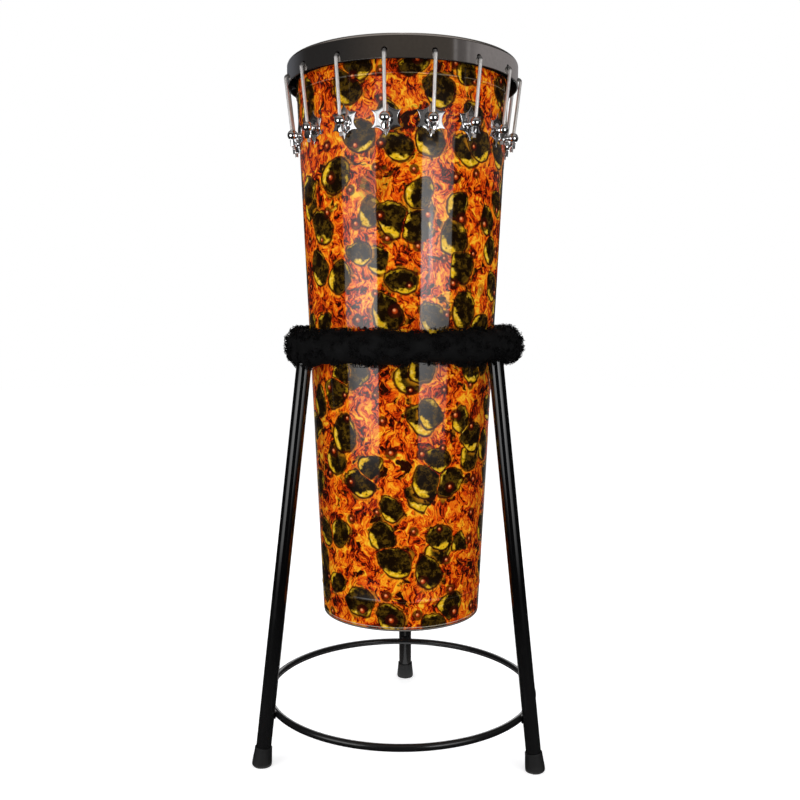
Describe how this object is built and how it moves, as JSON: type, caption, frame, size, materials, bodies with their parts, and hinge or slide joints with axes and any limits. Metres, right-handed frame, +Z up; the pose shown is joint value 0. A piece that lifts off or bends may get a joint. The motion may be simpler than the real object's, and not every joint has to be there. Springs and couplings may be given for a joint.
{
  "type": "timbal drum",
  "caption": "Tall conical hand drum with a rod-tensioned head and star-shaped lugs, standing in a tripod stand with a fur-padded collar.",
  "frame": {"origin": "on the drum's axis at floor level, between the three feet", "axes": "+Z up along the drum's axis, +Y towards the stand's rear leg, -Y towards the player's side that the picture shows"},
  "size_m": [0.4854, 0.5177, 1.1651],
  "materials": {
    "printed_wrap": "ply cone under a glossy printed wrap, flames with dark pebbles",
    "head_film": "coated milky film",
    "chrome": "polished",
    "dark_chrome": "polished dark nickel",
    "bright_steel": "plated steel",
    "black_paint": "gloss black",
    "black_rubber": "satin",
    "black_fur": "curly long pile"
  },
  "bodies": {
    "stand": {"collar_ring": "black_paint", "floor_ring": "black_paint", "fur_cover": "black_fur", "leg_front_left": "black_paint", "leg_front_right": "black_paint", "leg_rear": "black_paint", "rubber_foot_front_left": "black_rubber", "rubber_foot_front_right": "black_rubber", "rubber_foot_rear": "black_rubber"},
    "drum": {"shell": "printed_wrap", "lug_01": "chrome", "lug_02": "chrome", "lug_03": "chrome", "lug_04": "chrome", "lug_05": "chrome", "lug_06": "chrome", "lug_07": "chrome", "lug_08": "chrome", "lug_09": "chrome", "lug_10": "chrome", "lug_11": "chrome", "lug_12": "chrome", "lug_13": "chrome", "lug_14": "chrome", "lug_15": "chrome", "lug_16": "chrome"},
    "hoop": {"counter_hoop": "dark_chrome", "drumhead": "head_film"},
    "rod_01": {"tension_rod_01": "bright_steel"},
    "rod_02": {"tension_rod_02": "bright_steel"},
    "rod_03": {"tension_rod_03": "bright_steel"},
    "rod_04": {"tension_rod_04": "bright_steel"},
    "rod_05": {"tension_rod_05": "bright_steel"},
    "rod_06": {"tension_rod_06": "bright_steel"},
    "rod_07": {"tension_rod_07": "bright_steel"},
    "rod_08": {"tension_rod_08": "bright_steel"},
    "rod_09": {"tension_rod_09": "bright_steel"},
    "rod_10": {"tension_rod_10": "bright_steel"},
    "rod_11": {"tension_rod_11": "bright_steel"},
    "rod_12": {"tension_rod_12": "bright_steel"},
    "rod_13": {"tension_rod_13": "bright_steel"},
    "rod_14": {"tension_rod_14": "bright_steel"},
    "rod_15": {"tension_rod_15": "bright_steel"},
    "rod_16": {"tension_rod_16": "bright_steel"},
    "nut_01": {"tension_nut_01": "chrome"},
    "nut_02": {"tension_nut_02": "chrome"},
    "nut_03": {"tension_nut_03": "chrome"},
    "nut_04": {"tension_nut_04": "chrome"},
    "nut_05": {"tension_nut_05": "chrome"},
    "nut_06": {"tension_nut_06": "chrome"},
    "nut_07": {"tension_nut_07": "chrome"},
    "nut_08": {"tension_nut_08": "chrome"},
    "nut_09": {"tension_nut_09": "chrome"},
    "nut_10": {"tension_nut_10": "chrome"},
    "nut_11": {"tension_nut_11": "chrome"},
    "nut_12": {"tension_nut_12": "chrome"},
    "nut_13": {"tension_nut_13": "chrome"},
    "nut_14": {"tension_nut_14": "chrome"},
    "nut_15": {"tension_nut_15": "chrome"},
    "nut_16": {"tension_nut_16": "chrome"}
  },
  "joints": [
    {"name": "drum_lift", "type": "slide", "parent": "stand", "child": "drum", "axis": [0, 0, 1], "range_m": [0, 0.49]},
    {"name": "hoop_tune", "type": "slide", "parent": "drum", "child": "hoop", "axis": [0, 0, 1], "range_m": [0, 0.005]},
    {"name": "rod_draw_01", "type": "slide", "parent": "drum", "child": "rod_01", "axis": [-0.0126, -0.1178, 0.993], "range_m": [0, 0.0051]},
    {"name": "rod_draw_02", "type": "slide", "parent": "drum", "child": "rod_02", "axis": [0.0334, -0.1136, 0.993], "range_m": [0, 0.0051]},
    {"name": "rod_draw_03", "type": "slide", "parent": "drum", "child": "rod_03", "axis": [0.0744, -0.0922, 0.993], "range_m": [0, 0.0051]},
    {"name": "rod_draw_04", "type": "slide", "parent": "drum", "child": "rod_04", "axis": [0.104, -0.0567, 0.993], "range_m": [0, 0.0051]},
    {"name": "rod_draw_05", "type": "slide", "parent": "drum", "child": "rod_05", "axis": [0.1178, -0.0126, 0.993], "range_m": [0, 0.0051]},
    {"name": "rod_draw_06", "type": "slide", "parent": "drum", "child": "rod_06", "axis": [0.1136, 0.0334, 0.993], "range_m": [0, 0.0051]},
    {"name": "rod_draw_07", "type": "slide", "parent": "drum", "child": "rod_07", "axis": [0.0922, 0.0744, 0.993], "range_m": [0, 0.0051]},
    {"name": "rod_draw_08", "type": "slide", "parent": "drum", "child": "rod_08", "axis": [0.0567, 0.104, 0.993], "range_m": [0, 0.0051]},
    {"name": "rod_draw_09", "type": "slide", "parent": "drum", "child": "rod_09", "axis": [0.0126, 0.1178, 0.993], "range_m": [0, 0.0051]},
    {"name": "rod_draw_10", "type": "slide", "parent": "drum", "child": "rod_10", "axis": [-0.0334, 0.1136, 0.993], "range_m": [0, 0.0051]},
    {"name": "rod_draw_11", "type": "slide", "parent": "drum", "child": "rod_11", "axis": [-0.0744, 0.0922, 0.993], "range_m": [0, 0.0051]},
    {"name": "rod_draw_12", "type": "slide", "parent": "drum", "child": "rod_12", "axis": [-0.104, 0.0567, 0.993], "range_m": [0, 0.0051]},
    {"name": "rod_draw_13", "type": "slide", "parent": "drum", "child": "rod_13", "axis": [-0.1178, 0.0126, 0.993], "range_m": [0, 0.0051]},
    {"name": "rod_draw_14", "type": "slide", "parent": "drum", "child": "rod_14", "axis": [-0.1136, -0.0334, 0.993], "range_m": [0, 0.0051]},
    {"name": "rod_draw_15", "type": "slide", "parent": "drum", "child": "rod_15", "axis": [-0.0922, -0.0744, 0.993], "range_m": [0, 0.0051]},
    {"name": "rod_draw_16", "type": "slide", "parent": "drum", "child": "rod_16", "axis": [-0.0567, -0.104, 0.993], "range_m": [0, 0.0051]},
    {"name": "nut_turn_01", "type": "hinge", "parent": "drum", "child": "nut_01", "pos_m": [-0.01988, -0.18602, 1.042], "axis": [-0.0126, -0.1178, 0.993], "range_deg": [-1720, 0]},
    {"name": "nut_turn_02", "type": "hinge", "parent": "drum", "child": "nut_02", "pos_m": [0.05282, -0.17946, 1.042], "axis": [0.0334, -0.1136, 0.993], "range_deg": [-1720, 0]},
    {"name": "nut_turn_03", "type": "hinge", "parent": "drum", "child": "nut_03", "pos_m": [0.11748, -0.14559, 1.042], "axis": [0.0744, -0.0922, 0.993], "range_deg": [-1720, 0]},
    {"name": "nut_turn_04", "type": "hinge", "parent": "drum", "child": "nut_04", "pos_m": [0.16425, -0.08955, 1.042], "axis": [0.104, -0.0567, 0.993], "range_deg": [-1720, 0]},
    {"name": "nut_turn_05", "type": "hinge", "parent": "drum", "child": "nut_05", "pos_m": [0.18602, -0.01988, 1.042], "axis": [0.1178, -0.0126, 0.993], "range_deg": [-1720, 0]},
    {"name": "nut_turn_06", "type": "hinge", "parent": "drum", "child": "nut_06", "pos_m": [0.17946, 0.05282, 1.042], "axis": [0.1136, 0.0334, 0.993], "range_deg": [-1720, 0]},
    {"name": "nut_turn_07", "type": "hinge", "parent": "drum", "child": "nut_07", "pos_m": [0.14559, 0.11748, 1.042], "axis": [0.0922, 0.0744, 0.993], "range_deg": [-1720, 0]},
    {"name": "nut_turn_08", "type": "hinge", "parent": "drum", "child": "nut_08", "pos_m": [0.08955, 0.16425, 1.042], "axis": [0.0567, 0.104, 0.993], "range_deg": [-1720, 0]},
    {"name": "nut_turn_09", "type": "hinge", "parent": "drum", "child": "nut_09", "pos_m": [0.01988, 0.18602, 1.042], "axis": [0.0126, 0.1178, 0.993], "range_deg": [-1720, 0]},
    {"name": "nut_turn_10", "type": "hinge", "parent": "drum", "child": "nut_10", "pos_m": [-0.05282, 0.17946, 1.042], "axis": [-0.0334, 0.1136, 0.993], "range_deg": [-1720, 0]},
    {"name": "nut_turn_11", "type": "hinge", "parent": "drum", "child": "nut_11", "pos_m": [-0.11748, 0.14559, 1.042], "axis": [-0.0744, 0.0922, 0.993], "range_deg": [-1720, 0]},
    {"name": "nut_turn_12", "type": "hinge", "parent": "drum", "child": "nut_12", "pos_m": [-0.16425, 0.08955, 1.042], "axis": [-0.104, 0.0567, 0.993], "range_deg": [-1720, 0]},
    {"name": "nut_turn_13", "type": "hinge", "parent": "drum", "child": "nut_13", "pos_m": [-0.18602, 0.01988, 1.042], "axis": [-0.1178, 0.0126, 0.993], "range_deg": [-1720, 0]},
    {"name": "nut_turn_14", "type": "hinge", "parent": "drum", "child": "nut_14", "pos_m": [-0.17946, -0.05282, 1.042], "axis": [-0.1136, -0.0334, 0.993], "range_deg": [-1720, 0]},
    {"name": "nut_turn_15", "type": "hinge", "parent": "drum", "child": "nut_15", "pos_m": [-0.14559, -0.11748, 1.042], "axis": [-0.0922, -0.0744, 0.993], "range_deg": [-1720, 0]},
    {"name": "nut_turn_16", "type": "hinge", "parent": "drum", "child": "nut_16", "pos_m": [-0.08955, -0.16425, 1.042], "axis": [-0.0567, -0.104, 0.993], "range_deg": [-1720, 0]}
  ],
  "couplings": [
    {"joint": "rod_draw_01", "follows": "hoop_tune", "ratio": 1.0071},
    {"joint": "rod_draw_02", "follows": "hoop_tune", "ratio": 1.0071},
    {"joint": "rod_draw_03", "follows": "hoop_tune", "ratio": 1.0071},
    {"joint": "rod_draw_04", "follows": "hoop_tune", "ratio": 1.0071},
    {"joint": "rod_draw_05", "follows": "hoop_tune", "ratio": 1.0071},
    {"joint": "rod_draw_06", "follows": "hoop_tune", "ratio": 1.0071},
    {"joint": "rod_draw_07", "follows": "hoop_tune", "ratio": 1.0071},
    {"joint": "rod_draw_08", "follows": "hoop_tune", "ratio": 1.0071},
    {"joint": "rod_draw_09", "follows": "hoop_tune", "ratio": 1.0071},
    {"joint": "rod_draw_10", "follows": "hoop_tune", "ratio": 1.0071},
    {"joint": "rod_draw_11", "follows": "hoop_tune", "ratio": 1.0071},
    {"joint": "rod_draw_12", "follows": "hoop_tune", "ratio": 1.0071},
    {"joint": "rod_draw_13", "follows": "hoop_tune", "ratio": 1.0071},
    {"joint": "rod_draw_14", "follows": "hoop_tune", "ratio": 1.0071},
    {"joint": "rod_draw_15", "follows": "hoop_tune", "ratio": 1.0071},
    {"joint": "rod_draw_16", "follows": "hoop_tune", "ratio": 1.0071},
    {"joint": "nut_turn_01", "follows": "hoop_tune", "rad_per_m": -5969.6},
    {"joint": "nut_turn_02", "follows": "hoop_tune", "rad_per_m": -5969.6},
    {"joint": "nut_turn_03", "follows": "hoop_tune", "rad_per_m": -5969.6},
    {"joint": "nut_turn_04", "follows": "hoop_tune", "rad_per_m": -5969.6},
    {"joint": "nut_turn_05", "follows": "hoop_tune", "rad_per_m": -5969.6},
    {"joint": "nut_turn_06", "follows": "hoop_tune", "rad_per_m": -5969.6},
    {"joint": "nut_turn_07", "follows": "hoop_tune", "rad_per_m": -5969.6},
    {"joint": "nut_turn_08", "follows": "hoop_tune", "rad_per_m": -5969.6},
    {"joint": "nut_turn_09", "follows": "hoop_tune", "rad_per_m": -5969.6},
    {"joint": "nut_turn_10", "follows": "hoop_tune", "rad_per_m": -5969.6},
    {"joint": "nut_turn_11", "follows": "hoop_tune", "rad_per_m": -5969.6},
    {"joint": "nut_turn_12", "follows": "hoop_tune", "rad_per_m": -5969.6},
    {"joint": "nut_turn_13", "follows": "hoop_tune", "rad_per_m": -5969.6},
    {"joint": "nut_turn_14", "follows": "hoop_tune", "rad_per_m": -5969.6},
    {"joint": "nut_turn_15", "follows": "hoop_tune", "rad_per_m": -5969.6},
    {"joint": "nut_turn_16", "follows": "hoop_tune", "rad_per_m": -5969.6}
  ]
}
